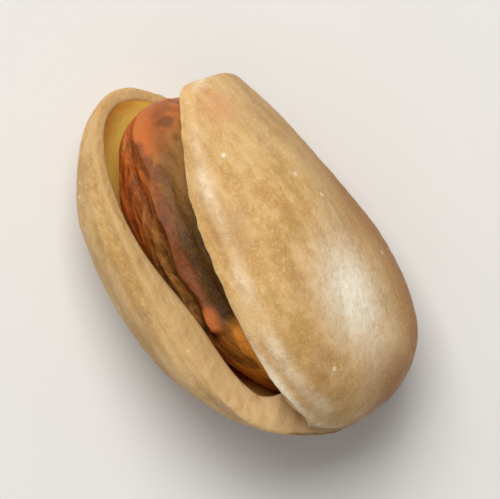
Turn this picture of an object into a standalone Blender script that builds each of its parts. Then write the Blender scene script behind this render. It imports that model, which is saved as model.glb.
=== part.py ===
"""A pistachio nut in its split shell, lying on its side.

Two grown pieces: the shell, whose two valves gape along the suture but stay
joined at the base, and the loose kernel inside it.  Metres, +Z up.  The long
axis lies along Y with the gaping tips toward +Y, and the nut rests at Z = 0 on
the small flat spot of its lower valve.

Each piece starts as a UV sphere whose poles become the base and the tip.  Every
point of the sphere is then carried to its place by a few plain formulas in the
nut's own directions: "along" from base to tip, "across" in the plane of the
suture (positive toward the gaping edge) and "out" square to that plane
(positive toward the upper valve).
"""

import bmesh
import bpy
import numpy as np
from math import cos, radians, sin

# Shell, outside, as if closed.
SHELL_LENGTH = 0.0196
SUTURE_HALF_WIDTH = 0.0060
UPPER_VALVE_DEPTH = 0.00508
LOWER_VALVE_DEPTH = 0.00602
WALL = 0.0008

# Taper of a width from base to tip: lean, fullness at both ends, skew.
SUTURE_TAPER = (0.28, 0.24, 0.10)
UPPER_DEPTH_TAPER = (0.28, -0.03, 0.16)
LOWER_DEPTH_TAPER = (-0.06, -0.03, 0.16)

# The middle line curves toward the gaping edge.
BASE_OFFSET = -0.0004
MIDDLE_OFFSET = 0.00033
TIP_OFFSET = 0.00025

# The valves swing apart about a slanting line, and their rims stand back from it.
GAPE_SLOPE = 0.20
GAPE_ROUNDING = 0.0006
HINGE_AT_GAPING_EDGE = -0.0018
HINGE_AT_BACK_EDGE = 0.0151
RIM_SETBACK = 0.00070
RIM_SETBACK_RUN = 0.0005
FRONT_SPLIT_START = 0.0023
BACK_SPLIT_START = 0.0139
UPPER_TIP_LOSS = 0.0015
UPPER_TIP_SLANT = 0.08
UPPER_TIP_ROUNDING = 0.00035

# Kernel.
KERNEL_START = 0.0022
KERNEL_END = 0.0181
KERNEL_HALF_WIDTH = 0.0041
KERNEL_HALF_DEPTH = 0.0040
KERNEL_TAPER = (0.06, 0.20, 0.0)
KERNEL_KEEL = 0.24
KERNEL_SHIFT = 0.0002
KERNEL_TIP_SHIFT = 0.0006

# How the nut lies.
ROLL = radians(35.5)
PITCH = radians(-8.5)
FLAT_SPOT_SAG = 0.00012

# Mesh fineness.
SHELL_MERIDIANS = 44
SHELL_RINGS = 32
KERNEL_MERIDIANS = 36
KERNEL_RINGS = 26
POLE = 1e-6


def clear_scene():
    for old in list(bpy.data.objects):
        bpy.data.objects.remove(old, do_unlink=True)


def new_collection(name):
    collection = bpy.data.collections.new(name)
    bpy.context.scene.collection.children.link(collection)
    return collection


def new_material(name, color, roughness):
    material = bpy.data.materials.new(name)
    material.use_nodes = True
    principled = material.node_tree.nodes["Principled BSDF"]
    principled.inputs["Base Color"].default_value = (*color, 1.0)
    principled.inputs["Roughness"].default_value = roughness
    principled.inputs["Metallic"].default_value = 0.0
    return material


def soft_ramp(distance, rounding):
    """Zero below nought, the distance itself above it, rounded in between."""
    return rounding * np.logaddexp(0.0, distance / rounding)


def taper(unit_along, shape):
    """Width of a lengthened ball from base (0) to tip (1), about 1 in the middle."""
    lean, fullness, skew = shape
    q = 1.0 - 2.0 * unit_along
    ball = np.sqrt(np.clip(1.0 - q * q, 0.0, 1.0))
    return ball * (1.0 + lean * q + fullness * q ** 2 + skew * q ** 3)


def middle_line(unit_along):
    """Offset of the nut's middle line toward the gaping edge."""
    from_tip = 1.0 - unit_along
    bend = MIDDLE_OFFSET * 4.0 * unit_along * from_tip
    return BASE_OFFSET * from_tip ** 3 + bend + TIP_OFFSET * unit_along ** 3


def past_hinge(along, across):
    """Distance beyond the slanting line about which the valves swing."""
    run = HINGE_AT_BACK_EDGE - HINGE_AT_GAPING_EDGE
    drop = 2.0 * SUTURE_HALF_WIDTH
    length = np.hypot(run, drop)
    forward = (along - HINGE_AT_GAPING_EDGE) * drop
    sideways = (across - SUTURE_HALF_WIDTH) * run
    return (forward + sideways) / length


def unit_directions(unit):
    """Split points of the unit sphere into ring position and direction round it."""
    ring = np.hypot(unit[:, 0], unit[:, 1])
    safe = np.maximum(ring, POLE)
    on_pole = ring < POLE
    round_across = np.where(on_pole, 0.0, unit[:, 0] / safe)
    round_out = np.where(on_pole, 0.0, np.abs(unit[:, 1]) / safe)
    unit_along = 0.5 * (1.0 + unit[:, 2])
    return unit_along, round_across, round_out


def shell_outside(unit, side):
    """Place points of the unit sphere on the shell; side is +1, -1 or 0 (joined)."""
    unit_along, round_across, round_out = unit_directions(unit)
    along = SHELL_LENGTH * unit_along
    across = SUTURE_HALF_WIDTH * taper(unit_along, SUTURE_TAPER) * round_across
    upper_depth = UPPER_VALVE_DEPTH * taper(unit_along, UPPER_DEPTH_TAPER)
    lower_depth = LOWER_VALVE_DEPTH * taper(unit_along, LOWER_DEPTH_TAPER)
    depth = np.where(side > 0, upper_depth, lower_depth) * round_out
    beyond = past_hinge(along, across)
    setback = RIM_SETBACK * (1.0 - np.exp(-np.maximum(beyond, 0.0) / RIM_SETBACK_RUN))
    swing = GAPE_SLOPE * soft_ramp(beyond, GAPE_ROUNDING)
    out = side * (np.hypot(depth, setback) + swing)
    past_tip = along + UPPER_TIP_LOSS + UPPER_TIP_SLANT * out - SHELL_LENGTH
    loss = soft_ramp(past_tip, UPPER_TIP_ROUNDING)
    along = np.where(side > 0, along - loss, along)
    return np.column_stack((across + middle_line(unit_along), out, along))


def kernel_outside(unit):
    """Place points of the unit sphere on the kernel, with a keel toward the gape."""
    unit_along, round_across, round_out = unit_directions(unit)
    along = KERNEL_START + (KERNEL_END - KERNEL_START) * unit_along
    width = taper(unit_along, KERNEL_TAPER)
    across = KERNEL_HALF_WIDTH * width * round_across
    keel = 1.0 - KERNEL_KEEL * np.maximum(round_across, 0.0) ** 2
    out = np.sign(unit[:, 1]) * KERNEL_HALF_DEPTH * width * round_out * keel
    middle = middle_line(along / SHELL_LENGTH)
    shift = KERNEL_SHIFT + KERNEL_TIP_SHIFT * unit_along ** 4
    return np.column_stack((across + middle, out - shift, along))


def lay_down(points):
    """Turn across, out and along into world directions of the lying nut."""
    across, out, along = points.T
    x = -across * sin(ROLL) + out * cos(ROLL)
    up = across * cos(ROLL) + out * sin(ROLL)
    y = along * cos(PITCH) - up * sin(PITCH)
    z = along * sin(PITCH) + up * cos(PITCH)
    return np.column_stack((x, y, z))


def vertex_array(bm):
    return np.array([vertex.co for vertex in bm.verts])


def move_vertices(bm, points):
    for vertex, point in zip(bm.verts, points):
        vertex.co = point


def unit_sphere(meridians, rings):
    bm = bmesh.new()
    bmesh.ops.create_uvsphere(bm, u_segments=meridians, v_segments=rings, radius=1.0)
    return bm


def is_split(edge):
    """True for a suture edge that has opened between the two valves."""
    ends = np.array([vertex.co for vertex in edge.verts])
    if np.abs(ends[:, 1]).max() > POLE:
        return False
    start = FRONT_SPLIT_START if ends[:, 0].sum() > 0.0 else BACK_SPLIT_START
    along = SHELL_LENGTH * 0.5 * (1.0 + ends[:, 2])
    return bool(along.min() >= start)


def valve_side(vertex):
    """+1 or -1 for a vertex of one valve, 0 where the valves are still joined."""
    outs = [face.calc_center_median().y for face in vertex.link_faces]
    if min(outs) > 0.0:
        return 1.0
    if max(outs) < 0.0:
        return -1.0
    return 0.0


def finish_object(bm, name, material, collection):
    bm.normal_update()
    mesh = bpy.data.meshes.new(name)
    bm.to_mesh(mesh)
    bm.free()
    mesh.materials.append(material)
    mesh.shade_smooth()
    mesh.set_sharp_from_angle(angle=radians(40.0))
    piece = bpy.data.objects.new(name, mesh)
    collection.objects.link(piece)
    return piece


def resting_place(points):
    """Move that brings the flat spot to Z = 0 and the box's middle over the origin."""
    low = points.min(axis=0)
    high = points.max(axis=0)
    middle = 0.5 * (low + high)
    return np.array([-middle[0], -middle[1], -(low[2] + FLAT_SPOT_SAG)])


def make_shell(collection):
    bm = unit_sphere(SHELL_MERIDIANS, SHELL_RINGS)
    bmesh.ops.split_edges(bm, edges=[edge for edge in bm.edges if is_split(edge)])
    side = np.array([valve_side(vertex) for vertex in bm.verts])
    points = lay_down(shell_outside(vertex_array(bm), side))
    shift = resting_place(points)
    points = points + shift
    points[:, 2] = np.maximum(points[:, 2], 0.0)
    move_vertices(bm, points)
    material = new_material("shell_tan", (0.70, 0.50, 0.27), 0.6)
    shell = finish_object(bm, "shell", material, collection)
    wall = shell.modifiers.new("wall", "SOLIDIFY")
    wall.thickness = WALL
    wall.offset = -1.0
    wall.use_even_offset = True
    wall.use_rim = True
    return shift


def make_kernel(collection, shift):
    bm = unit_sphere(KERNEL_MERIDIANS, KERNEL_RINGS)
    points = lay_down(kernel_outside(vertex_array(bm))) + shift
    move_vertices(bm, points)
    material = new_material("kernel_skin", (0.30, 0.09, 0.04), 0.5)
    finish_object(bm, "kernel", material, collection)


def main():
    clear_scene()
    nut = new_collection("pistachio_in_shell")
    shift = make_shell(nut)
    make_kernel(nut, shift)


main()
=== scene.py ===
# %% [markdown]
# # A pistachio in its split shell
# The nut lies on its side with its two valves gaping, and the loose kernel shows in the gap.
# The measured solids are loaded first, and they fix where everything goes.  The fine surfaces
# made here take the place of the plain shell and kernel, in exactly the same spot.

import bpy
import numpy as np
from mathutils import Matrix, Vector


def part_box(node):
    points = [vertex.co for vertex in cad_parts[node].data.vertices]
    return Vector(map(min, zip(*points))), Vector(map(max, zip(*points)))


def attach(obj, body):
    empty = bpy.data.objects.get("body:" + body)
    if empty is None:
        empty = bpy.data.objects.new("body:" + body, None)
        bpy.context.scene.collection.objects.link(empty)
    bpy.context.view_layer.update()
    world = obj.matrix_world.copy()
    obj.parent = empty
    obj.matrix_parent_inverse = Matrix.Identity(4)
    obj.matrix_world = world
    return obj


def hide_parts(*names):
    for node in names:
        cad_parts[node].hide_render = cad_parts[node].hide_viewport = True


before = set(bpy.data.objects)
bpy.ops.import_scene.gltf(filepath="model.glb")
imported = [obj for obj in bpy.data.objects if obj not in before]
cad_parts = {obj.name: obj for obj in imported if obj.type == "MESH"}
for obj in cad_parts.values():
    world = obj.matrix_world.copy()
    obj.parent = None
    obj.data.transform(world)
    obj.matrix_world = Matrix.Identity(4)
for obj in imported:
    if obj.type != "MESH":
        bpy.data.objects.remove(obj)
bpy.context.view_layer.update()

SHELL_LOW, SHELL_HIGH = [np.array(corner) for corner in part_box("shell")]
MM = 0.001

# %% [markdown]
# ## The nut's own directions
# A nut is easiest to describe in its own directions: "across" lies in the plane of the suture,
# positive toward the gaping edge, "out" is square to that plane, positive toward the upper valve,
# and "along" runs from base to tip.  All shapes are worked out there in millimetres, and only the
# last step rolls and pitches them to the way the nut lies on the table.

# %% How the nut lies
ROLL = np.radians(35.5)
PITCH = np.radians(-8.5)
FLAT_SPOT_SAG = 0.12


def lay_down(across, out, along):
    """Roll the nut about its length, then pitch it: two plain rotations, in millimetres."""
    x = -across * np.sin(ROLL) + out * np.cos(ROLL)
    up = across * np.cos(ROLL) + out * np.sin(ROLL)
    y = along * np.cos(PITCH) - up * np.sin(PITCH)
    z = along * np.sin(PITCH) + up * np.cos(PITCH)
    return np.stack((x, y, z), axis=-1)


print("along points to", lay_down(0.0, 0.0, 1.0).round(3))

# %% [markdown]
# ## The plain form
# Both the shell and the kernel are stretched balls.  A ball is a circle of rings from pole to
# pole; here each ring's width is multiplied by a short polynomial, which makes the base blunt and
# the tip narrow.  A few numbers then shape the whole nut, and every surface can share them.

# %% Widths and the middle line
SHELL_LENGTH = 19.6
SUTURE_HALF_WIDTH = 6.0
SUTURE_TAPER = (0.28, 0.24, 0.10)
VALVE_DEPTH = {1: 5.08, -1: 6.02}
DEPTH_TAPER = {1: (0.28, -0.03, 0.16), -1: (-0.06, -0.03, 0.16)}
BASE_OFFSET = -0.40
MIDDLE_OFFSET = 0.33
TIP_OFFSET = 0.25


def taper(unit_along, shape):
    """Half circle times (1 + lean q + fullness q^2 + skew q^3), q running from 1 to -1."""
    lean, fullness, skew = shape
    q = 1.0 - 2.0 * unit_along
    ball = np.sqrt(np.clip(1.0 - q * q, 0.0, 1.0))
    return ball * (1.0 + lean * q + fullness * q ** 2 + skew * q ** 3)


def middle_line(unit_along):
    """Cubic at each end plus a parabola between: the slight bend of the nut."""
    from_tip = 1.0 - unit_along
    bend = MIDDLE_OFFSET * 4.0 * unit_along * from_tip
    return BASE_OFFSET * from_tip ** 3 + bend + TIP_OFFSET * unit_along ** 3


def smooth_step(low, high, value):
    """Ease from 0 to 1 between low and high: 3 t^2 - 2 t^3."""
    t = np.clip((value - low) / (high - low), 0.0, 1.0)
    return t * t * (3.0 - 2.0 * t)


def hump(value, centre, width):
    """Bell curve: 1 at the centre, about a third one width away."""
    return np.exp(-((value - centre) / width) ** 2)


def soft_ramp(distance, rounding):
    """Zero below nought and the distance above it, rounded in between."""
    return rounding * np.logaddexp(0.0, distance / rounding)


def spread_over(values, grid):
    """Repeat a single row or column of values over the whole grid."""
    return np.broadcast_to(values, np.broadcast_shapes(values.shape, grid.shape))


print("half widths at the middle", SUTURE_HALF_WIDTH * taper(np.array([0.5]), SUTURE_TAPER))

# %% [markdown]
# ## Natural unevenness
# Nothing grown is perfectly smooth.  A cheap, repeatable way to get gentle lumps is to add sine
# waves that run in random directions.  The directions come from a fixed seed, so the nut is the
# same each time, and stretching the coordinates first turns round lumps into long streaks.

# %% Lumps from sine waves
SHORTEST_WAVE, LONGEST_WAVE = 0.7, 1.5
LUMP_PEAK = 1.6


def lumps(points, size, seed, waves=16):
    """Sum of sines in random directions with wavelengths near size, scaled to about -1..1."""
    rng = np.random.default_rng(seed)
    directions = rng.normal(size=(waves, 3))
    directions /= np.linalg.norm(directions, axis=1, keepdims=True)
    turns = 2.0 * np.pi / (size * rng.uniform(SHORTEST_WAVE, LONGEST_WAVE, waves))
    phases = rng.uniform(0.0, 2.0 * np.pi, waves)
    angles = points @ (directions * turns[:, None]).T + phases
    return np.sin(angles).sum(axis=-1) / np.sqrt(waves / 2.0) / LUMP_PEAK


print("lumps sample", lumps(np.zeros((1, 3)), 5.0, 1).round(3))

# %% [markdown]
# ## How the valves open
# When the nut ripened its shell split along the suture, and the valves swung apart like a book
# about a slanting line: near the base on the gaping edge, far up on the back.  Past that line
# each rim also stands back a little from the suture plane, so the gap starts blunt.  The upper
# valve's rim stands back further at its tip, and that tip is worn flat.

# %% The gape
GAPE_SLOPE = 0.20
GAPE_ROUNDING = 0.6
HINGE_AT_GAPING_EDGE = -1.8
HINGE_AT_BACK_EDGE = 15.1
RIM_SETBACK = 0.70
RIM_SETBACK_RUN = 0.5
TIP_OPENING = {1: 0.85, -1: 0.0}
TIP_OPENING_START, TIP_OPENING_END = 12.5, 17.5
UPPER_TIP_LOSS = 1.6
UPPER_TIP_SLANT = 0.08
UPPER_TIP_TILT = 0.13
UPPER_TIP_ROUNDING = 0.42


def past_hinge(along, across):
    """Distance past the slanting line through the two hinge ends, negative before it."""
    run = HINGE_AT_BACK_EDGE - HINGE_AT_GAPING_EDGE
    drop = 2.0 * SUTURE_HALF_WIDTH
    forward = (along - HINGE_AT_GAPING_EDGE) * drop
    sideways = (across - SUTURE_HALF_WIDTH) * run
    return (forward + sideways) / np.hypot(run, drop)


def rim_setback(beyond, along, side):
    """Rises from 0 to its full depth along an exponential past the hinge line."""
    opening = TIP_OPENING[side] * smooth_step(TIP_OPENING_START, TIP_OPENING_END, along)
    return (RIM_SETBACK + opening) * (1.0 - np.exp(-np.maximum(beyond, 0.0) / RIM_SETBACK_RUN))


def valve_swing(beyond):
    """How far a valve has swung outward: the slope times the distance past the line."""
    return GAPE_SLOPE * soft_ramp(beyond, GAPE_ROUNDING)


def trim_upper_tip(across, out, along, side, wall):
    """The upper valve's tip is worn flat: its length is clipped softly at a slanting plane."""
    limit = SHELL_LENGTH - UPPER_TIP_LOSS - wall
    limit = limit - UPPER_TIP_SLANT * np.abs(out) + UPPER_TIP_TILT * across
    return along - soft_ramp(along - limit, UPPER_TIP_ROUNDING) if side > 0 else along


print("half gap near the tip", valve_swing(past_hinge(17.0, 4.0)) + RIM_SETBACK)

# %% [markdown]
# ## The outside of a valve
# The grid's rows run from the base to the tip and its columns run round the valve, from the
# gaping edge over the belly to the back.  At the base the lower valve's edge is bevelled into a
# broad shelf, so its outside stops a little short of the suture.  A shallow furrow and a low
# ridge follow each rim, and the stem scar is a flat disc with a raised ring round it.

# %% Outside surface
SHELF_SETBACK = {1: 0.0, -1: 0.9}
SHELF_START, SHELF_END = 1.5, 8.5
SHELF_LEAST_DEPTH, SHELF_MOST_SHARE = 0.5, 0.5
BASE_SLIMMING = {1: 0.0, -1: 0.22}
BASE_SLIMMING_END = 7.0
SWING_EASING = 0.12
SEAM_DEPTH, SEAM_HALF_WIDTH = 0.16, 0.24
FURROW_DISTANCE, FURROW_HALF_WIDTH, FURROW_DEPTH = 0.95, 0.30, 0.05
RIDGE_DISTANCE, RIDGE_HALF_WIDTH, RIDGE_HEIGHT = 1.55, 0.30, 0.04
FURROW_START, FURROW_FULL = 1.5, 4.0
LEAST_RING, LEAST_RIM_DEPTH = 0.3, 0.8
LUMPS_FROM_RIM, LUMPS_FROM_BASE = 0.9, 3.0
SCAR_RADIUS, SCAR_RING_WIDTH, SCAR_RING_HEIGHT, SCAR_DEPTH = 1.7, 0.30, 0.035, 0.03
SCAR_FLAT_SHARE, SCAR_TOP, SCAR_GONE = 0.8, 2.0, 4.0


def slimmed(along, side):
    """Share of its depth that a valve keeps: the lower one is slimmer toward the base."""
    return 1.0 - BASE_SLIMMING[side] * (1.0 - smooth_step(0.0, BASE_SLIMMING_END, along))


def outside(angle, round_angle, side):
    """Ring width times cosine and sine, opened by setback and swing, then roughened."""
    unit_along = 0.5 * (1.0 - np.cos(angle))
    along = SHELL_LENGTH * unit_along
    depth_limit = VALVE_DEPTH[side] * taper(unit_along, DEPTH_TAPER[side]) * slimmed(along, side)
    shelf = SHELF_SETBACK[side] * (1.0 - smooth_step(SHELF_START, SHELF_END, along))
    cut = np.clip(shelf / np.maximum(depth_limit, SHELF_LEAST_DEPTH), 0.0, SHELF_MOST_SHARE)
    cut = np.arcsin(cut)
    turn = np.where(round_angle > 0.0, round_angle * (1.0 - cut / (np.pi / 2.0)), round_angle)
    raw_across = SUTURE_HALF_WIDTH * taper(unit_along, SUTURE_TAPER) * np.sin(turn)
    depth = depth_limit * np.cos(turn)
    beyond = past_hinge(along, raw_across)
    edge = np.hypot(depth, rim_setback(beyond, along, side))
    swing = valve_swing(beyond) * (1.0 - np.exp(-edge / SWING_EASING))
    out = side * (edge + swing)
    across = raw_across + middle_line(unit_along)
    along = spread_over(trim_upper_tip(across, out, along, side, 0.0), out)
    points = np.stack((across, out, along), axis=-1)
    radial = np.stack((raw_across, out, np.zeros_like(out)), axis=-1)
    ring = np.linalg.norm(radial, axis=-1, keepdims=True)
    radial /= np.maximum(ring, LEAST_RING)
    from_rim = (np.pi / 2.0 - np.abs(round_angle)) * np.maximum(depth_limit, LEAST_RIM_DEPTH)
    seam = -SEAM_DEPTH * hump(from_rim, 0.0, SEAM_HALF_WIDTH) * (beyond < 0.0)
    furrow = -FURROW_DEPTH * hump(from_rim, FURROW_DISTANCE, FURROW_HALF_WIDTH)
    ridge = RIDGE_HEIGHT * hump(from_rim, RIDGE_DISTANCE, RIDGE_HALF_WIDTH)
    broad = 0.10 * lumps(points, 7.0, 11) + 0.045 * lumps(points, 2.6, 12)
    fine = 0.018 * lumps(points * (1.0, 1.0, 0.25), 0.9, 13) + 0.008 * lumps(points, 0.5, 14)
    fade = smooth_step(0.0, LUMPS_FROM_RIM, from_rim) * smooth_step(0.0, LUMPS_FROM_BASE, along)
    lines = (furrow + ridge) * smooth_step(FURROW_START, FURROW_FULL, along)
    relief = seam + lines + (broad + fine) * fade
    points = points + radial * relief[..., None]
    near_base = 1.0 - smooth_step(SCAR_TOP, SCAR_GONE, along)
    ring = ring[..., 0]
    scar_ring = SCAR_RING_HEIGHT * hump(ring, SCAR_RADIUS, SCAR_RING_WIDTH)
    dished = 1.0 - smooth_step(SCAR_FLAT_SHARE * SCAR_RADIUS, SCAR_RADIUS, ring)
    points[..., 2] -= (scar_ring - SCAR_DEPTH * dished) * near_base
    return points, {"from_rim": from_rim, "beyond": beyond, "ring": ring}


angles = np.linspace(0.0, np.pi, 5)[:, None]
sample, _ = outside(angles, np.array([[0.0]]), 1)
print("upper valve's belly, across/out/along", sample[2, 0].round(2))

# %% [markdown]
# ## The inside of a valve
# The inside is the same form, drawn a wall's thickness smaller.  The wall is thicker at the base,
# so the hollow starts higher up, and its split starts higher up too: there the gap in the wall
# ends in a blunt U.  The lower valve's margin also swells into a broad lip below its middle.

# %% Inside surface
WALL = 0.80
BASE_WALL = 1.5
TIP_WALL = 0.70
GAP_END = 3.15
GAP_END_RADIUS = 0.55
LIP_CENTRE, LIP_HALF_LENGTH = 7.9, 4.2
LIP_RISE = {1: 0.0, -1: 0.42}
LIP_WIDTH = {1: 0.0, -1: 0.42}
LIP_SHARPNESS = 6


def inside(angle, round_angle, side):
    """The outside's formula with smaller widths; below the gap's end the valves stay joined."""
    unit_along = 0.5 * (1.0 - np.cos(angle))
    along = BASE_WALL + (SHELL_LENGTH - BASE_WALL - TIP_WALL) * unit_along
    lip = hump(along, LIP_CENTRE, LIP_HALF_LENGTH)
    width = SUTURE_HALF_WIDTH - WALL
    toward_gap = np.maximum(np.sin(round_angle), 0.0) ** LIP_SHARPNESS
    width = width - LIP_WIDTH[side] * lip * toward_gap
    raw_across = width * taper(unit_along, SUTURE_TAPER) * np.sin(round_angle)
    depth_limit = (VALVE_DEPTH[side] - WALL) * taper(unit_along, DEPTH_TAPER[side])
    depth = depth_limit * slimmed(along, side) * np.cos(round_angle)
    beyond = past_hinge(along, raw_across)
    opened = np.clip((along - GAP_END) / GAP_END_RADIUS, 0.0, 1.0)
    opened = np.sqrt(1.0 - (1.0 - opened) ** 2)
    lowered = LIP_RISE[side] * lip * (round_angle > 0.0)
    setback = (rim_setback(beyond, along, side) - lowered * (beyond > 0.0)) * opened
    edge = np.hypot(depth, setback)
    swing = valve_swing(beyond) * opened * (1.0 - np.exp(-edge / SWING_EASING))
    out = side * (edge + swing)
    across = raw_across + middle_line(unit_along)
    along = spread_over(trim_upper_tip(across, out, along, side, TIP_WALL), out)
    from_rim = (np.pi / 2.0 - np.abs(round_angle)) * (VALVE_DEPTH[side] - WALL)
    return np.stack((across, out, along), axis=-1), spread_over(from_rim, out)


sample, _ = inside(angles, np.array([[0.0]]), -1)
print("lower valve's hollow, across/out/along", sample[2, 0].round(2))

# %% [markdown]
# ## Rims that join
# A rim is a narrow strip of columns between the outside's edge and the inside's, bulging a little
# toward the gap so that it looks rounded.  Where the valves are still joined, both strips lie in
# the suture plane: their points are shared, and the faces between them are left out.  That makes
# one closed skin of the two valves, which is what a shell that split but never parted is.

# %% One valve as a closed loop of columns
ROWS = 250
OUTSIDE_COLUMNS = 98
INSIDE_COLUMNS = 44
RIM_COLUMNS = 12
POLE_CROWDING = 0.01
CROWDED_SHARE = 0.55
RIM_BULGE, FULL_BULGE_GAP = 0.11, 0.4
CRUMB_HEIGHT, CRUMB_SIZE, CRUMB_SEED, CRUMB_START = 0.02, 0.45, 25, 0.3
RIM_RAGGEDNESS, RAGGED_REACH = 0.042, 0.30
RAGGED_LONG, RAGGED_SHORT = 1.1, 0.45
RAGGED_FROM, RAGGED_FULL_GAP = 0.25, 0.2
POLE_FADE = 5.0
OUTSIDE = slice(0, OUTSIDE_COLUMNS)
BACK_RIM = slice(OUTSIDE.stop, OUTSIDE.stop + RIM_COLUMNS)
INSIDE = slice(BACK_RIM.stop, BACK_RIM.stop + INSIDE_COLUMNS)
FRONT_RIM = slice(INSIDE.stop, INSIDE.stop + RIM_COLUMNS)


def crowd_ends(count):
    """Angles from a quarter turn to minus a quarter turn, closer together toward both ends."""
    x = np.linspace(1.0, -1.0, count)
    crowded = CROWDED_SHARE * x * (1.5 - 0.5 * x * x)
    return (crowded + (1.0 - CROWDED_SHARE) * x) * np.pi / 2.0


def rim_strip(from_edge, to_edge, side):
    """Straight line from one edge to the other, plus a bulge of 1 - (2q - 1)^4 toward the gap."""
    q = (np.arange(RIM_COLUMNS) + 1.0) / (RIM_COLUMNS + 1.0)
    q = q[None, :, None]
    strip = from_edge[:, None, :] * (1.0 - q) + to_edge[:, None, :] * q
    gap = np.abs(strip[..., 1])
    opened = gap / FULL_BULGE_GAP
    bulge = RIM_BULGE * (1.0 - (2.0 * q[..., 0] - 1.0) ** 4) * np.clip(opened, 0.0, 1.0)
    crumbs = CRUMB_HEIGHT * lumps(strip, CRUMB_SIZE, CRUMB_SEED)
    crumbs = crumbs * np.clip(opened - CRUMB_START, 0.0, 1.0)
    strip[..., 1] -= side * (bulge + crumbs * np.sin(np.pi * q[..., 0]))
    return strip


def valve_grid(side):
    """Columns in order: outside, back rim, inside, front rim; rows from base to tip."""
    rows = np.linspace(0.0, 1.0, ROWS)
    angle = np.pi * (rows - POLE_CROWDING * np.sin(2.0 * np.pi * rows))[:, None]
    outer, measures = outside(angle, crowd_ends(OUTSIDE_COLUMNS)[None, :], side)
    inner, inner_from_rim = inside(angle, -crowd_ends(INSIDE_COLUMNS)[None, :], side)
    away_from_poles = np.clip(POLE_FADE * np.sin(angle[:, 0]), 0.0, 1.0)
    for column, seed in ((0, 21), (-1, 22)):
        edge = outer[:, column]
        ragged = lumps(edge, RAGGED_LONG, seed + side) + 0.5 * lumps(edge, RAGGED_SHORT, seed)
        open_here = np.clip(np.abs(edge[:, 1]) / RAGGED_FULL_GAP - RAGGED_FROM, 0.0, 1.0)
        open_here = open_here * away_from_poles
        same_side = np.sign(crowd_ends(OUTSIDE_COLUMNS)) == (1.0 if column == 0 else -1.0)
        spread = hump(measures["from_rim"], 0.0, RAGGED_REACH) * same_side
        outer[..., 1] += side * RIM_RAGGEDNESS * (ragged * open_here)[:, None] * spread
    back_rim = rim_strip(outer[:, -1], inner[:, 0], side)
    front_rim = rim_strip(inner[:, -1], outer[:, 0], side)
    back_rim[-1] = front_rim[-1, ::-1]
    points = np.concatenate((outer, back_rim, inner, front_rim), axis=1)
    return points, measures, inner_from_rim


upper, upper_measures, upper_inner_from_rim = valve_grid(1)
lower, lower_measures, lower_inner_from_rim = valve_grid(-1)
COLUMNS = upper.shape[1]
print("rows and columns of a valve", upper.shape[:2])

# %% [markdown]
# ## Sewing the two valves together
# Each grid point gets a number.  Where both valves have a point in the suture plane they use the
# same number, and at the base and the tip each ring has shrunk to a point, so the ring shares one
# number too.  Faces whose corners have all become shared between the valves would be a hidden
# wall inside the shell, and are dropped.  Two cautions keep the skin closed.  Where the hidden
# part gets so thin that four faces would meet at one edge, a few passes take faces out of it
# again.  And a face with three shared corners is cut to the half that the other valve lacks.

# %% Shared points and faces
SHARED_WITHIN = 0.004
THINNING_PASSES = 12


def corners_of(faces):
    """True for each grid point that is a corner of a marked face; the whole base row counts."""
    none = np.zeros((1, faces.shape[1]), dtype=bool)
    left = np.vstack((faces, none)) | np.vstack((none, faces))
    corners = left | np.roll(left, 1, axis=1)
    corners[0] = True
    return corners


def find_hidden(close):
    """Mark faces with four close corners, then free those that would pinch a shared edge."""
    pair = close & np.roll(close, -1, axis=1)
    hidden = pair[:-1] & pair[1:]
    for _ in range(THINNING_PASSES):
        shared = corners_of(hidden)
        up = shared[:-1] & shared[1:] & ~(hidden | np.roll(hidden, 1, axis=1))
        beside = np.roll(shared, -1, axis=1)[1:-1]
        round_edge = shared[1:-1] & beside & ~(hidden[:-1] | hidden[1:])
        pinched = np.zeros_like(close)
        pinched[1:] |= up
        pinched[1:-1] |= round_edge | np.roll(round_edge, 1, axis=1)
        touched = pinched | np.roll(pinched, -1, axis=1)
        hidden &= ~(touched[:-1] | touched[1:])
    return hidden


def trim_halves(corners, joined):
    """Cut a face with three shared corners to the half that the other valve doesn't share."""
    right = np.roll(joined, -1, axis=1)
    shared = np.stack((joined[:-1], right[:-1], right[1:], joined[1:]), axis=-1)
    three = shared.sum(axis=-1) == 3
    for free in range(4):
        here = three & ~shared[..., free]
        corners[here, (free + 2) % 4] = corners[here, (free + 3) % 4]


def sew(upper, lower):
    """Return points and quads with shared points merged and hidden faces left out."""
    grid = np.stack((upper, lower))
    flat = grid.reshape(-1, 3)
    numbers = np.arange(len(flat)).reshape(grid.shape[:3])
    close = np.abs(grid[..., 1]).max(axis=0) < SHARED_WITHIN
    hidden = find_hidden(close)
    joined = corners_of(hidden)
    for valve, side in ((0, 1), (1, -1)):
        grid[valve, ..., 1] = np.where(close, side * SHARED_WITHIN, grid[valve, ..., 1])
        grid[valve, ..., 1] = np.where(joined, 0.0, grid[valve, ..., 1])
    numbers[1][joined] = numbers[0][joined]
    for row in (0, -1):
        for columns in (OUTSIDE, INSIDE):
            numbers[:, row, columns] = numbers[:, row, columns][:, :1]
    numbers[:, -1, BACK_RIM] = numbers[:, -1, FRONT_RIM][:, ::-1]
    quads = []
    for valve in (0, 1):
        right = np.roll(numbers[valve], -1, axis=1)
        corners = np.stack((numbers[valve, :-1], right[:-1], right[1:], numbers[valve, 1:]), axis=-1)
        trim_halves(corners, joined)
        corners = corners[~hidden]
        quads.append(corners if valve == 0 else corners[:, ::-1])
    return flat, np.concatenate(quads)


shell_points, shell_quads = sew(upper, lower)
print("shell points and quads", len(shell_points), len(shell_quads))

# %% [markdown]
# ## From arrays to a mesh
# Rings that shrank to a point leave some quads with two equal corners; they become triangles.  The
# lowest point is pressed flat by a hair, which gives the nut the small spot it rests on.  The same
# few lines make the shell's mesh and the kernel's.  A measure that a finish will need, such as how
# close a point is to the rim, is stored on the mesh as an attribute.

# %% Make a mesh and store its measures


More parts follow.
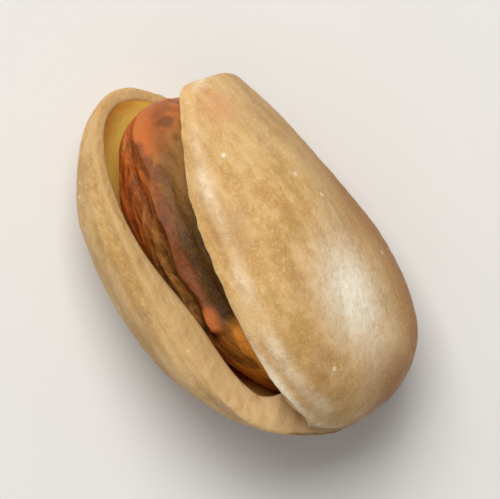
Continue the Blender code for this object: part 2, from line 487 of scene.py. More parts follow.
def mesh_from(name, points, quads):
    """Drop unused points and collapsed corners, then hand the arrays to Blender in one go."""
    used, quads = np.unique(quads, return_inverse=True)
    quads = quads.reshape(-1, 4)
    whole = ~(quads == np.roll(quads, -1, axis=1)).any(axis=1)
    faces = quads[whole].tolist()
    faces += [list(dict.fromkeys(corners)) for corners in quads[~whole].tolist()]
    mesh = bpy.data.meshes.new(name)
    mesh.from_pydata((points[used] * MM).tolist(), [], [face for face in faces if len(face) > 2])
    mesh.shade_smooth()
    return mesh, used


def store(mesh, name, values):
    """Keep one number, or one vector, for each point of the mesh."""
    kind, key = ("FLOAT_VECTOR", "vector") if values.ndim == 2 else ("FLOAT", "value")
    attribute = mesh.attributes.new(name, kind, "POINT")
    attribute.data.foreach_set(key, values.astype(np.float32).ravel())


def resting_shift(points):
    """Put the lowest point a hair below the table, and match the solid box's middle."""
    middle = 0.5 * (SHELL_LOW + SHELL_HIGH) / MM
    low, high = points.min(axis=0), points.max(axis=0)
    shift = middle - 0.5 * (low + high)
    shift[2] = -(low[2] + FLAT_SPOT_SAG)
    return shift


laid = lay_down(*shell_points.T)
SHIFT = resting_shift(laid[np.unique(shell_quads)])
laid = laid + SHIFT
laid[:, 2] = np.maximum(laid[:, 2], 0.0)
shell_mesh, shell_used = mesh_from("nutshell", laid, shell_quads)
print("nutshell", len(shell_mesh.vertices), "points", len(shell_mesh.polygons), "faces")

# %% [markdown]
# ## Standing in for the plain shell
# A mesh can be seen once an object carries it.  The new object is linked to the scene, rides on
# the nut's only body, and stands in for the plain shell, which is hidden.  The
# kernel will use the same few lines.

# %% Put the shell in the scene


def add_piece(name, mesh, node):
    """Link the mesh as an object on the nut's body, standing for a solid that is hidden."""
    piece = bpy.data.objects.new(name, mesh)
    bpy.context.scene.collection.objects.link(piece)
    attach(piece, "root")
    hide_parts(node)


add_piece("nutshell", shell_mesh, "shell")

# %% [markdown]
# ## Measures for the shell's finish
# The finish changes over the shell: the broken rims are duller, the inside is amber, partly its
# own colour and partly a painted glow of light through the thin wall toward the tip, salt and a
# painted highlight lie on one side of the belly, painted shade darkens the side away from the gap
# and the base, a reddish stain marks the upper tip, and the stem scar is a rosy brown.  Each of
# these is a soft mask between 0 and 1, worked out here from the grid's own measures, where
# distance to the rim is simply known.

# %% Masks on the shell
SHELL_MASKS = ("rim", "inner", "seam", "scar", "salt_and_highlight", "stain", "painted_shade")
RIM_FADE = 0.28
# The whitish patch on the belly is salt with a painted highlight on it.
SALT_HIGHLIGHT_CENTRE, SALT_HIGHLIGHT_HALF_LENGTH, SALT_HIGHLIGHT_TURN, SALT_HIGHLIGHT_HALF_TURN = 5.4, 2.5, 0.32, 0.30
SALTED_RIDGE, SALTED_RIDGE_WIDTH = 0.55, 0.42
# Painted shade: the side away from the gap and the base get a deeper tan, as if the light fell away
# there.
SHADE_FROM, SHADE_WIDTH = {1: -0.15, -1: -1.30}, 0.75
SHADE_ABOVE, SHADE_HEIGHTS = {1: 0.4, -1: 0.0}, {1: (9.0, 16.0), -1: (6.0, 12.0)}
BASE_CAP_FULL, BASE_CAP_END, BASE_CAP_FROM, BASE_CAP_TO = 0.6, 3.0, -0.9, 0.1
SCAR_MASK_TOP, SCAR_MASK_GONE = 1.2, 2.2
SCAR_CORE, SCAR_MARK_RADIUS, SCAR_MARK_WIDTH, SCAR_OUTER_SHARE = 0.55, 0.95, 0.28, 0.75
LOW_RIM_CENTRE, LOW_RIM_HALF_LENGTH = 3.6, 2.2
LOW_RIM_DISTANCE, LOW_RIM_WIDTH = 0.3, 0.45
STAIN_CENTRE, STAIN_HALF_LENGTH, STAIN_TURN, STAIN_HALF_TURN = 16.3, 0.9, 0.55, 0.35


def valve_masks(points, measures, inner_from_rim, side):
    """One array per mask over the whole grid of a valve, columns in the grid's order."""
    masks = {name: np.zeros((ROWS, COLUMNS)) for name in SHELL_MASKS}
    open_rim = smooth_step(0.0, 0.6, measures["beyond"])
    edge = hump(measures["from_rim"], 0.0, RIM_FADE)
    masks["rim"][:, OUTSIDE] = edge * open_rim
    masks["rim"][:, BACK_RIM] = masks["rim"][:, FRONT_RIM] = 1.0
    masks["rim"][:, INSIDE] = hump(inner_from_rim, 0.0, 0.5 * RIM_FADE)
    masks["inner"][:, INSIDE] = 1.0 - masks["rim"][:, INSIDE]
    masks["seam"][:, OUTSIDE] = edge * (1.0 - open_rim)
    along = points[:, OUTSIDE, 2]
    near_base = 1.0 - smooth_step(SCAR_MASK_TOP, SCAR_MASK_GONE, along)
    reach = measures["ring"] / SCAR_RADIUS
    mark = hump(np.maximum(reach, SCAR_CORE), SCAR_MARK_RADIUS, SCAR_MARK_WIDTH)
    mark = mark * ((1.0 - SCAR_OUTER_SHARE) * (reach < 1.0) + SCAR_OUTER_SHARE)
    masks["scar"][:, OUTSIDE] = near_base * mark
    # Painted shade: deeper tan on the side away from the gap, and in a cap at the base.
    turn = crowd_ends(OUTSIDE_COLUMNS)[None, :]
    away = smooth_step(SHADE_FROM[side], SHADE_FROM[side] + SHADE_WIDTH, -turn)
    faded = (1.0 - SHADE_ABOVE[side]) * smooth_step(*SHADE_HEIGHTS[side], along)
    base_cap = 1.0 - smooth_step(BASE_CAP_FULL, BASE_CAP_END, along)
    base_cap = base_cap * smooth_step(BASE_CAP_FROM, BASE_CAP_TO, -turn)
    masks["painted_shade"][:, OUTSIDE] = np.maximum(away * (1.0 - faded), base_cap)
    if side > 0:
        # The patch on the belly is salt with a painted highlight; the ridge and the low rim carry
        # salt.
        patch = hump(along, SALT_HIGHLIGHT_CENTRE, SALT_HIGHLIGHT_HALF_LENGTH)
        patch = patch * hump(turn, SALT_HIGHLIGHT_TURN, SALT_HIGHLIGHT_HALF_TURN)
        ridge = hump(measures["from_rim"], RIDGE_DISTANCE, SALTED_RIDGE_WIDTH) * (turn > 0.0)
        broken = np.clip(0.5 + 0.6 * lumps(points[:, OUTSIDE], 3.2, 41), 0.0, 1.0)
        low_rim = hump(along, LOW_RIM_CENTRE, LOW_RIM_HALF_LENGTH)
        low_rim = low_rim * hump(measures["from_rim"], LOW_RIM_DISTANCE, LOW_RIM_WIDTH)
        dusted = np.maximum(SALTED_RIDGE * ridge * broken, low_rim * (turn > 0.0))
        masks["salt_and_highlight"][:, OUTSIDE] = np.maximum(patch, dusted)
        masks["stain"][:, OUTSIDE] = (hump(along, STAIN_CENTRE, STAIN_HALF_LENGTH)
                                      * hump(turn, STAIN_TURN, STAIN_HALF_TURN))
    return masks


upper_masks = valve_masks(upper, upper_measures, upper_inner_from_rim, 1)
lower_masks = valve_masks(lower, lower_measures, lower_inner_from_rim, -1)
for name in upper_masks:
    store(shell_mesh, name, np.stack((upper_masks[name], lower_masks[name])).ravel()[shell_used])
store(shell_mesh, "grain", shell_points[shell_used])
print("masks stored:", ", ".join(upper_masks))

# %% [markdown]
# ## The kernel
# The kernel is a fuller ball with a blunt keel toward the gap, wrapped in a thin, wrinkled seed
# coat.  Long folds run with its length; they are lumps stretched along it and creased by taking
# one minus the absolute value, which turns wave tops into sharp ridges.  One strong fold, the
# keel, runs down the middle of the gap and ends in a rounded knob above the smoother lower part.

# %% Kernel surface
KERNEL_START, KERNEL_END = 2.0, 18.1
KERNEL_HALF_WIDTH = 4.15
KERNEL_HALF_DEPTH = {1: 4.0, -1: 4.75}
KERNEL_SLIMMING, KERNEL_SLIMMING_END = 0.34, 9.0
KERNEL_TAPER = (0.10, 0.24, 0.0)
KERNEL_FLATTENING = {1: 0.24, -1: 0.16}
KERNEL_SHIFT, KERNEL_TIP_SHIFT = 0.2, 0.45
KERNEL_ROWS, KERNEL_COLUMNS = 300, 300
KERNEL_LEAST_RADIUS = 0.5
KEEL_TURN, KEEL_DRIFT = -0.24, 0.032
KEEL_END, KEEL_HEIGHT, KEEL_HALF_WIDTH = 7.4, 0.36, 0.33
KEEL_LOWERING, KEEL_LOWERING_START, KEEL_LOWERING_END = 0.35, 12.0, 16.0
KEEL_WANDER = 0.22
KNOB_CENTRE, KNOB_HEIGHT, KNOB_WIDENING, KNOB_HALF_LENGTH = 7.8, 0.20, 1.5, 0.75
GULLY_DISTANCE, GULLY_HALF_WIDTH, GULLY_DEPTH = 1.15, 0.45, 0.20
SMOOTH_BELOW, WRINKLED_ABOVE, LEAST_WRINKLED = 6.5, 9.0, 0.35
CREASE_LEVEL = 0.6


def keel_line(along):
    """Angle round the kernel at which the keel runs: it drifts in step with the length."""
    return KEEL_TURN + KEEL_DRIFT * (along - KEEL_END)


def creases(points, size, seed, stretched):
    """One minus the absolute value of lumps stretched along the nut: sharp ridges."""
    return 1.0 - np.abs(lumps(points * (1.0, 1.0, stretched), size, seed))


def kernel_surface(angle, turn):
    """Ring width times cosine and sine, flattened toward the gap, then folded and wrinkled."""
    unit_along = 0.5 * (1.0 - np.cos(angle))
    along = spread_over(KERNEL_START + (KERNEL_END - KERNEL_START) * unit_along, turn)
    width = taper(unit_along, KERNEL_TAPER)
    across = KERNEL_HALF_WIDTH * width * np.cos(turn)
    above = np.sin(turn) > 0.0
    flattening = np.where(above, KERNEL_FLATTENING[1], KERNEL_FLATTENING[-1])
    low_part = 1.0 - smooth_step(KERNEL_START, KERNEL_SLIMMING_END, along)
    base_share = 1.0 - KERNEL_SLIMMING * low_part
    half_depth = np.where(above, KERNEL_HALF_DEPTH[1], KERNEL_HALF_DEPTH[-1] * base_share)
    out = half_depth * width * np.sin(turn)
    out = out * (1.0 - flattening * np.maximum(np.cos(turn), 0.0) ** 2)
    out = out - KERNEL_SHIFT - KERNEL_TIP_SHIFT * unit_along ** 4
    across = across + middle_line(along / SHELL_LENGTH)
    points = np.stack((across, out, along), axis=-1)
    radial = np.stack((across, out, np.zeros_like(out)), axis=-1)
    radius = np.linalg.norm(radial, axis=-1, keepdims=True)
    radial /= np.maximum(radius, KERNEL_LEAST_RADIUS)
    from_keel = np.mod(turn - keel_line(along) + np.pi, 2.0 * np.pi) - np.pi
    sideways = from_keel * radius[..., 0]
    wavy = sideways + KEEL_WANDER * lumps(points, 3.0, 35)
    on_keel = hump(wavy, 0.0, KEEL_HALF_WIDTH) * smooth_step(KEEL_END - 0.5, KEEL_END, along)
    lowered = smooth_step(KEEL_LOWERING_START, KEEL_LOWERING_END, along)
    on_keel = on_keel * (1.0 - KEEL_LOWERING * lowered)
    knob = hump(wavy, 0.0, KNOB_WIDENING * KEEL_HALF_WIDTH)
    knob = knob * hump(along, KNOB_CENTRE, KNOB_HALF_LENGTH)
    gullies = hump(np.abs(wavy), GULLY_DISTANCE, GULLY_HALF_WIDTH)
    gullies = gullies * smooth_step(KEEL_END - 1.0, KEEL_END + 1.0, along)
    folds = creases(points, 2.2, 31, 0.35)
    small = creases(points, 0.9, 32, 0.55)
    tiny = creases(points, 0.42, 34, 0.8)
    wrinkles = (0.10 * (folds - CREASE_LEVEL) + 0.055 * (small - CREASE_LEVEL)
                + 0.022 * (tiny - CREASE_LEVEL))
    wrinkled = smooth_step(SMOOTH_BELOW, WRINKLED_ABOVE, along)
    wrinkled = LEAST_WRINKLED + (1.0 - LEAST_WRINKLED) * wrinkled
    relief = 0.10 * lumps(points, 3.5, 33) + wrinkled * wrinkles
    relief = relief + KEEL_HEIGHT * on_keel + KNOB_HEIGHT * knob - GULLY_DEPTH * gullies
    masks = {"knob": knob, "gully": gullies, "crease": 0.6 * folds + 0.4 * small,
             "side": sideways}
    return points + radial * relief[..., None], masks


kernel_angle = np.linspace(0.0, np.pi, KERNEL_ROWS)[:, None]
kernel_turn = np.linspace(0.0, 2.0 * np.pi, KERNEL_COLUMNS, endpoint=False)[None, :]
kernel_grid, kernel_masks = kernel_surface(kernel_angle, kernel_turn)
print("kernel's box", kernel_grid.min(axis=(0, 1)).round(2), kernel_grid.max(axis=(0, 1)).round(2))

# %% [markdown]
# ## Closing the kernel
# The kernel's grid closes more simply than the shell's.  Its last column is joined to its first,
# and the first and last rows shrink to one point each, the base and the tip.

# %% Kernel mesh
kernel_numbers = np.arange(KERNEL_ROWS * KERNEL_COLUMNS).reshape(KERNEL_ROWS, KERNEL_COLUMNS)
kernel_numbers[0] = kernel_numbers[0, 0]
kernel_numbers[-1] = kernel_numbers[-1, 0]
kernel_right = np.roll(kernel_numbers, -1, axis=1)
kernel_quads = np.stack(
    (kernel_numbers[:-1], kernel_right[:-1], kernel_right[1:], kernel_numbers[1:]), axis=-1)
kernel_points = kernel_grid.reshape(-1, 3)
kernel_mesh, kernel_used = mesh_from(
    "nut_kernel", lay_down(*kernel_points.T) + SHIFT, kernel_quads.reshape(-1, 4))
add_piece("nut_kernel", kernel_mesh, "kernel")
for name, mask in kernel_masks.items():
    store(kernel_mesh, name, mask.ravel()[kernel_used])
store(kernel_mesh, "grain", kernel_points[kernel_used])
print("nut_kernel", len(kernel_mesh.polygons), "faces")

# %% [markdown]
# ## Building finishes
# A procedural finish is a small network of nodes.  These helpers add one node each and return
# its output, so that a finish can be read from top to bottom like a recipe.

# %% Node helpers


def new_finish(name):
    """A material with its node tree and its Principled shader."""
    material = bpy.data.materials.new(name)
    material.use_nodes = True
    return material, material.node_tree, material.node_tree.nodes["Principled BSDF"]


def plug(tree, target, value):
    """Link a socket, or set a plain value."""
    if isinstance(value, bpy.types.NodeSocket):
        tree.links.new(value, target)
    else:
        target.default_value = value


def measure(tree, name, output="Fac"):
    """Read an attribute of the mesh."""
    node = tree.nodes.new("ShaderNodeAttribute")
    node.attribute_name = name
    return node.outputs[output]


def along_nut(tree, grain):
    """The third part of the position in the nut's own directions: how far up the nut it is."""
    node = tree.nodes.new("ShaderNodeSeparateXYZ")
    plug(tree, node.inputs[0], grain)
    return node.outputs["Z"]


def stretch(tree, vector, scale, shift=(0.0, 0.0, 0.0)):
    """Scale and shift a position before it is read by a pattern."""
    node = tree.nodes.new("ShaderNodeMapping")
    plug(tree, node.inputs["Vector"], vector)
    node.inputs["Scale"].default_value = scale
    node.inputs["Location"].default_value = shift
    return node.outputs["Vector"]


def cloud(tree, vector, scale, detail=3.0, roughness=0.5):
    """Noise pattern, about 0.5 on average."""
    node = tree.nodes.new("ShaderNodeTexNoise")
    plug(tree, node.inputs["Vector"], vector)
    node.inputs["Scale"].default_value = scale
    node.inputs["Detail"].default_value = detail
    node.inputs["Roughness"].default_value = roughness
    return node.outputs["Fac"]


def cells(tree, vector, scale):
    """Voronoi pattern: distance to the nearest cell's middle."""
    node = tree.nodes.new("ShaderNodeTexVoronoi")
    plug(tree, node.inputs["Vector"], vector)
    node.inputs["Scale"].default_value = scale
    return node.outputs["Distance"]


def between(tree, value, low, high, to_low=0.0, to_high=1.0):
    """Carry the values from low to high over to another range, and clamp."""
    node = tree.nodes.new("ShaderNodeMapRange")
    plug(tree, node.inputs["Value"], value)
    keys = ("From Min", "From Max", "To Min", "To Max")
    for key, number in zip(keys, (low, high, to_low, to_high)):
        node.inputs[key].default_value = number
    return node.outputs["Result"]


def calc(tree, operation, first, second=0.0):
    """Arithmetic on one or two values."""
    node = tree.nodes.new("ShaderNodeMath")
    node.operation = operation
    plug(tree, node.inputs[0], first)
    plug(tree, node.inputs[1], second)
    return node.outputs[0]


def times(tree, first, second):
    """Product of two values."""
    return calc(tree, "MULTIPLY", first, second)


def blend(tree, share, first, second):
    """Mix two colours by a share from 0 to 1."""
    node = tree.nodes.new("ShaderNodeMix")
    node.data_type = "RGBA"
    plug(tree, node.inputs[0], share)
    for socket, colour in ((node.inputs[6], first), (node.inputs[7], second)):
        plug(tree, socket, colour if isinstance(colour, bpy.types.NodeSocket) else (*colour, 1.0))
    return node.outputs[2]


def bump(tree, height, distance, normal=None):
    """Turn a height between 0 and 1 into shading relief of the given depth in millimetres."""
    node = tree.nodes.new("ShaderNodeBump")
    node.inputs["Distance"].default_value = distance * MM
    plug(tree, node.inputs["Height"], height)
    if normal is not None:
        plug(tree, node.inputs["Normal"], normal)
    return node.outputs["Normal"]


print("node helpers ready")

# %% [markdown]
# ## The shell's finish
# A pistachio shell is hard, dry and tan, with long paler streaks, fine pores and a dusting of
# salt.  The recipe mixes broad tan clouds with streaks along the nut first.  Then the masks add
# painted shade on the side away from the gap and at the base, the whitish patch of salt and
# painted highlight, the stem scar, the dark seam, the amber inside with its painted glow and the
# broken rims, and a cell pattern adds tiny specks.

# %% Shell colours
SHELL_DARK = (0.46, 0.245, 0.068)
SHELL_MIDDLE = (0.59, 0.355, 0.120)
SHELL_LIGHT = (0.72, 0.50, 0.250)
SHELL_RIM = (0.52, 0.335, 0.145)
SHELL_LOW_RIM = (0.68, 0.46, 0.23)
SHELL_SEAM = (0.17, 0.075, 0.022)
# The whitish colour serves for salt and for the painted highlight on the belly.
SHELL_SALT_AND_HIGHLIGHT = (1.0, 0.91, 0.75)
# The amber toward the tip is partly the lining's own colour and partly a painted glow of light
# through the thin wall.
SHELL_INSIDE, SHELL_AMBER_GLOW = (0.55, 0.28, 0.07), (1.0, 0.73, 0.17)
SHELL_STAIN, SHELL_SCAR, SHELL_BLUSH = (0.62, 0.27, 0.12), (0.33, 0.17, 0.10), (0.56, 0.37, 0.25)
# The deep tan below is painted shade for the side away from the gap and the base.
SHELL_SHADE = (0.35, 0.130, 0.008)
BLUSH_WEIGHT, SHADE_WEIGHT, SAND_WEIGHT, SPECK_WEIGHT = 0.22, 0.90, 0.30, 0.6
STAIN_WEIGHT, SEAM_WEIGHT = 0.55, 0.85
SHELL_ROUGHNESS = (0.42, 0.66)
SHELL_SPECULAR = 0.22
SCATTERING = (0.25, 0.8)
SCATTER_RADIUS, SCATTER_DEPTH = (1.0, 0.5, 0.2), 1.2
STREAK_RELIEF, SAND_RELIEF, PORE_RELIEF = 0.10, 0.035, 0.018


def shell_tan(tree, grain, streaks, mottle, sand):
    """The outside's plain colour: dark to light tan by a mixed tone, a faint blush, painted shade
    away from the gap and at the base, and sandy salt.
    """
    broad = cloud(tree, grain, 0.28, 2.0)
    tone = calc(tree, "ADD", times(tree, broad, 0.9), times(tree, streaks, 0.8))
    tone = calc(tree, "ADD", tone, times(tree, mottle, 0.9))
    tan = blend(tree, between(tree, tone, 0.92, 1.34), SHELL_DARK, SHELL_MIDDLE)
    tan = blend(tree, between(tree, tone, 1.20, 1.72), tan, SHELL_LIGHT)
    blush = cloud(tree, stretch(tree, grain, (1.0, 1.0, 0.7), (3.0, 1.0, 7.0)), 0.55, 3.0)
    tan = blend(tree, between(tree, blush, 0.56, 0.72, 0.0, BLUSH_WEIGHT), tan, SHELL_BLUSH)
    # Painted shade from its mask darkens the tan.
    tan = blend(tree, times(tree, measure(tree, "painted_shade"), SHADE_WEIGHT), tan, SHELL_SHADE)
    return blend(tree, between(tree, sand, 0.52, 0.80, 0.0, SAND_WEIGHT), tan, SHELL_SALT_AND_HIGHLIGHT)


def salt_and_marks(tree, tan, grain, mottle, sand):
    """Salt and a painted highlight where the mask says, a few ragged specks, the stain, the scar and
    the seam.
    """
    crumbs = between(tree, cloud(tree, grain, 3.0, 3.0, 0.65), 0.34, 0.58, 0.62, 1.0)
    # Salt, and on the belly a painted highlight, where the mask says.
    tan = blend(tree, times(tree, measure(tree, "salt_and_highlight"), crumbs), tan, SHELL_SALT_AND_HIGHLIGHT)
    ragged = calc(tree, "ADD", cells(tree, grain, 1.1), times(tree, sand, 0.25))
    speck = between(tree, ragged, 0.27, 0.20)
    chosen = between(tree, cloud(tree, grain, 0.9, 1.0), 0.55, 0.60)
    specks = times(tree, speck, times(tree, chosen, SPECK_WEIGHT))
    tan = blend(tree, specks, tan, SHELL_SALT_AND_HIGHLIGHT)
    tan = blend(tree, times(tree, measure(tree, "stain"), STAIN_WEIGHT), tan, SHELL_STAIN)
    scar = times(tree, measure(tree, "scar"), between(tree, mottle, 0.3, 0.6, 0.5, 1.0))
    tan = blend(tree, scar, tan, SHELL_SCAR)
    return blend(tree, times(tree, measure(tree, "seam"), SEAM_WEIGHT), tan, SHELL_SEAM)


def nutshell_finish():
    """Tan clouds, streaks and masks for colour; grains, pores and streaks for relief."""
    material, tree, shader = new_finish("nutshell_tan")
    grain = measure(tree, "grain", "Vector")
    along = along_nut(tree, grain)
    streaks = cloud(tree, stretch(tree, grain, (1.5, 1.5, 0.22)), 1.0, 4.0, 0.6)
    mottle = cloud(tree, grain, 1.5, 5.0, 0.65)
    sand = cloud(tree, grain, 7.0, 3.0, 0.7)
    tan = shell_tan(tree, grain, streaks, mottle, sand)
    tan = salt_and_marks(tree, tan, grain, mottle, sand)
    lining = blend(tree, between(tree, mottle, 0.40, 0.65, 0.0, 0.35), SHELL_INSIDE, SHELL_DARK)
    # Toward the tip the lining turns amber: its own colour, brightened by a painted glow of light
    # through the wall.
    lining = blend(tree, between(tree, along, 9.0, 14.0), lining, SHELL_AMBER_GLOW)
    inner = measure(tree, "inner")
    tan = blend(tree, inner, tan, lining)
    edge = times(tree, measure(tree, "rim"), between(tree, mottle, 0.30, 0.60, 0.35, 1.0))
    rim = blend(tree, between(tree, along, 3.5, 7.0), SHELL_LOW_RIM, SHELL_RIM)
    plug(tree, shader.inputs["Base Color"], blend(tree, edge, tan, rim))
    roughness = between(tree, mottle, 0.35, 0.65, *SHELL_ROUGHNESS)
    plug(tree, shader.inputs["Roughness"], roughness)
    shader.inputs["Specular IOR Level"].default_value = SHELL_SPECULAR
    scattering = between(tree, inner, 0.0, 1.0, *SCATTERING)
    plug(tree, shader.inputs["Subsurface Weight"], scattering)
    shader.inputs["Subsurface Radius"].default_value = SCATTER_RADIUS
    shader.inputs["Subsurface Scale"].default_value = SCATTER_DEPTH * MM
    pores = between(tree, cells(tree, stretch(tree, grain, (1.0, 1.0, 0.6)), 3.2), 0.0, 0.28)
    relief = bump(tree, streaks, STREAK_RELIEF)
    relief = bump(tree, sand, SAND_RELIEF, relief)
    relief = bump(tree, pores, PORE_RELIEF, relief)
    plug(tree, shader.inputs["Normal"], relief)
    return material


shell_mesh.materials.append(nutshell_finish())
print("shell finish:", shell_mesh.materials[0].name)

# %% [markdown]
# ## The kernel's finish
# The seed coat is thin and shiny where it is smooth.  Its top is reddish brown with browner spots,
# the middle band along the keel is a dark red, and the knob at its end is brighter.  One side is
# brown and mossy, the other is olive, darkened with painted shade from the upper valve, and turns
# tawny toward the tip, and the lower part is chestnut.  The masks worked out with the surface say
# where each begins.

# %% Kernel colours
COAT_RED, COAT_KEEL, COAT_SPOT = (0.52, 0.130, 0.021), (0.205, 0.058, 0.0135), (0.42, 0.17, 0.045)
# The right flank's olive and amber are darkened with painted shade from the upper valve.
COAT_SHADED_OLIVE, COAT_SHADED_AMBER = (0.058, 0.027, 0.002), (0.105, 0.047, 0.003)
COAT_BROWN, COAT_CHESTNUT = (0.60, 0.250, 0.055), (0.92, 0.325, 0.038)
COAT_KNOB, COAT_MOSS = (0.46, 0.120, 0.022), (0.105, 0.055, 0.010)
# The dark crease colour is painted shade for the gullies and the valleys between folds.
COAT_TAWNY, COAT_CREASE_SHADE = (0.30, 0.135, 0.024), (0.085, 0.026, 0.008)
SPOT_WEIGHT, GULLY_SHADE_WEIGHT, CREASE_SHADE_WEIGHT, FLECK_WEIGHT = 0.55, 0.40, 0.6, 0.25
COAT_ROUGHNESS = (0.34, 0.56)
COAT_SPECULAR = 0.26
COAT_STREAK_RELIEF, COAT_FINE_RELIEF = 0.22, 0.06


def flanks(tree, side, along, mottle):
    """Brown and moss on the left of the keel; olive and amber darkened with painted shade, then
    tawny, on the right.
    """
    # Painted shade: the right flank's olive is kept dark as if the upper valve shaded it.
    shaded_right_flank = blend(tree, between(tree, mottle, 0.42, 0.62), COAT_SHADED_OLIVE, COAT_SHADED_AMBER)
    shaded_right_flank = blend(tree, between(tree, along, 11.5, 15.0), shaded_right_flank, COAT_TAWNY)
    left_flank = blend(tree, between(tree, mottle, 0.40, 0.66), COAT_BROWN, COAT_MOSS)
    return blend(tree, between(tree, side, -0.3, 0.3), left_flank, shaded_right_flank)


def coat_colour(tree, grain, streaks, mottle, fine):
    """Middle band and flanks, the red top, the chestnut base, spots, painted shade in gullies and
    creases, the knob, flecks.
    """
    along = along_nut(tree, grain)
    side = measure(tree, "side")
    off_middle = calc(tree, "ABSOLUTE", calc(tree, "ADD", side, 0.15))
    wavering = calc(tree, "ADD", off_middle, times(tree, streaks, 0.9))
    sides = between(tree, wavering, 0.80, 1.30)
    band = blend(tree, sides, COAT_KEEL, flanks(tree, side, along, mottle))
    height = calc(tree, "ADD", along, times(tree, mottle, 2.4))
    high = between(tree, calc(tree, "SUBTRACT", height, side), 15.0, 17.2)
    coat = blend(tree, high, band, COAT_RED)
    height = calc(tree, "ADD", along, times(tree, mottle, 1.4))
    coat = blend(tree, between(tree, height, 8.2, 7.3), coat, COAT_CHESTNUT)
    spots = times(tree, between(tree, cloud(tree, grain, 1.1, 3.0), 0.54, 0.64), high)
    coat = blend(tree, times(tree, spots, SPOT_WEIGHT), coat, COAT_SPOT)
    # Painted shade: the gullies beside the keel and the valleys between the folds are darkened.
    coat = blend(tree, times(tree, measure(tree, "gully"), GULLY_SHADE_WEIGHT), coat, COAT_CREASE_SHADE)
    crease_shade = between(tree, measure(tree, "crease"), 0.55, 0.2, 0.0, CREASE_SHADE_WEIGHT)
    coat = blend(tree, crease_shade, coat, COAT_CREASE_SHADE)
    coat = blend(tree, between(tree, measure(tree, "knob"), 0.2, 0.6), coat, COAT_KNOB)
    return blend(tree, between(tree, fine, 0.52, 0.74, 0.0, FLECK_WEIGHT), coat, COAT_SPOT)


def kernel_finish():
    """The coat's colours, wrinkles finer than the mesh has, and a low sheen."""
    material, tree, shader = new_finish("kernel_coat")
    grain = measure(tree, "grain", "Vector")
    streaks = cloud(tree, stretch(tree, grain, (1.6, 1.6, 0.45)), 1.0, 4.0, 0.6)
    mottle = cloud(tree, grain, 1.4, 4.0, 0.6)
    fine = cloud(tree, grain, 5.0, 4.0, 0.65)
    plug(tree, shader.inputs["Base Color"], coat_colour(tree, grain, streaks, mottle, fine))
    roughness = between(tree, fine, 0.35, 0.65, *COAT_ROUGHNESS)
    plug(tree, shader.inputs["Roughness"], roughness)
    shader.inputs["Specular IOR Level"].default_value = COAT_SPECULAR
    relief = bump(tree, streaks, COAT_STREAK_RELIEF)
    relief = bump(tree, fine, COAT_FINE_RELIEF, relief)
    plug(tree, shader.inputs["Normal"], relief)
    return material


kernel_mesh.materials.append(kernel_finish())
print("kernel finish:", kernel_mesh.materials[0].name)

# %% [markdown]
# ## Table
# A plain pale table keeps attention on the nut.  A faint mottle in its colour and roughness stops
# it from looking like empty space.

# %% Table
TABLE_HALF_SIDE = 1.5
TABLE_COLOUR, TABLE_SHADE = (0.80, 0.79, 0.77), (0.77, 0.76, 0.74)
table_mesh = bpy.data.meshes.new("table")
corner_signs = np.array([(-1, -1, 0), (1, -1, 0), (1, 1, 0), (-1, 1, 0)])
table_mesh.from_pydata((corner_signs * TABLE_HALF_SIDE).tolist(), [], [(0, 1, 2, 3)])
table = bpy.data.objects.new("table", table_mesh)
bpy.context.scene.collection.objects.link(table)


def table_finish():
    """Off-white, slightly uneven."""
    material, tree, shader = new_finish("table_pale")
    place = tree.nodes.new("ShaderNodeTexCoord").outputs["Object"]
    wash = cloud(tree, place, 60.0, 3.0)
    plug(tree, shader.inputs["Base Color"], blend(tree, wash, TABLE_SHADE, TABLE_COLOUR))
    plug(tree, shader.inputs["Roughness"], between(tree, wash, 0.3, 0.7, 0.60, 0.75))
    return material


table_mesh.materials.append(table_finish())
print("table side", 2 * TABLE_HALF_SIDE, "m")

# %% [markdown]
# ## Camera
# The camera looks squarely at the nut's length, from above and from the gaping side, through a
# long lens.  Its picture is turned so that the nut leans to the left as it rises.

# %% Camera
VIEW_WIDTH = 0.0238
CAMERA_DISTANCE = 0.6
LEAN = np.radians(31.3)
SENSOR_WIDTH = 36.0
FRAME_SHIFT_RIGHT, FRAME_SHIFT_UP = 0.00042, 0.00045
AIM_HEIGHT = 0.0062

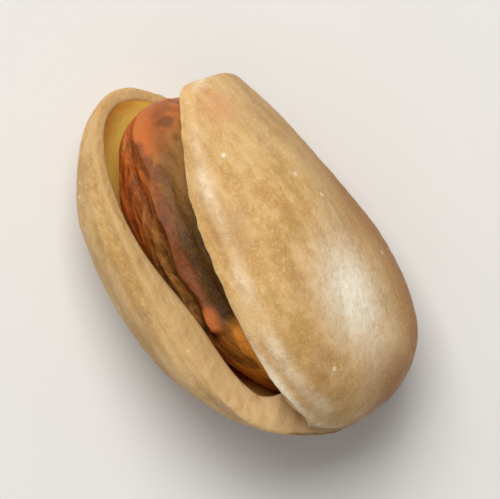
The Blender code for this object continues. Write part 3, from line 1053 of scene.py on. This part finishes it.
toward_camera = Vector(lay_down(np.cos(ROLL), np.sin(ROLL), 0.0))
side_world = Vector((1.0, 0.0, 0.0))
along_world = Vector(lay_down(0.0, 0.0, 1.0))
image_up = along_world * np.cos(LEAN) + side_world * np.sin(LEAN)
image_right = side_world * np.cos(LEAN) - along_world * np.sin(LEAN)
camera_data = bpy.data.cameras.new("camera")
camera_data.sensor_width = SENSOR_WIDTH
camera_data.lens = SENSOR_WIDTH * CAMERA_DISTANCE / VIEW_WIDTH
camera_data.clip_start = 0.01
camera = bpy.data.objects.new("camera", camera_data)
bpy.context.scene.collection.objects.link(camera)
aim = Vector((0.0, 0.0, AIM_HEIGHT)) + image_right * FRAME_SHIFT_RIGHT + image_up * FRAME_SHIFT_UP
turned = Matrix((image_right, image_up, toward_camera)).transposed()
camera.matrix_world = Matrix.Translation(aim + toward_camera * CAMERA_DISTANCE) @ turned.to_4x4()
bpy.context.scene.camera = camera
print("lens", round(camera_data.lens), "mm")

# %% [markdown]
# ## Light
# Two large soft lamps, like windows: the stronger one a little above the camera and nearly in
# front, so that few shadows show, and a weaker one at the upper left that brightens the edge of
# the lower valve.  A pale room fills the rest.

# %% Lamps and room
KEY_SIDE, KEY_DISTANCE, KEY_SIZE, KEY_POWER = (-0.08, 0.42, 1.0), 0.5, 0.26, 2.25
FILL_SIDE, FILL_DISTANCE, FILL_SIZE, FILL_POWER = (-0.8, 0.7, 0.35), 0.6, 0.30, 0.78
KEY_COLOUR, FILL_COLOUR = (1.0, 0.98, 0.95), (1.0, 0.99, 0.97)
ROOM_COLOUR, ROOM_STRENGTH = (1.0, 0.99, 0.97, 1.0), 0.30


def soft_light(name, direction, distance, size, power, colour):
    """A square area lamp that looks at the nut from the given direction."""
    data = bpy.data.lights.new(name, "AREA")
    data.size = size
    data.energy = power
    data.color = colour
    lamp = bpy.data.objects.new(name, data)
    bpy.context.scene.collection.objects.link(lamp)
    away = Vector(direction).normalized()
    lamp.matrix_world = (Matrix.Translation(aim + away * distance)
                         @ away.to_track_quat("Z", "Y").to_matrix().to_4x4())


def seen(right, up, near):
    """A direction given the way the camera sees it: right, up and toward the viewer."""
    return image_right * right + image_up * up + toward_camera * near


soft_light("key", seen(*KEY_SIDE), KEY_DISTANCE, KEY_SIZE, KEY_POWER, KEY_COLOUR)
soft_light("fill", seen(*FILL_SIDE), FILL_DISTANCE, FILL_SIZE, FILL_POWER, FILL_COLOUR)

world = bpy.data.worlds.new("room")
bpy.context.scene.world = world
world.use_nodes = True
background = world.node_tree.nodes["Background"]
background.inputs["Color"].default_value = ROOM_COLOUR
background.inputs["Strength"].default_value = ROOM_STRENGTH
bpy.context.scene.view_settings.view_transform = "Standard"
print("lamps", [light.name for light in bpy.data.lights])
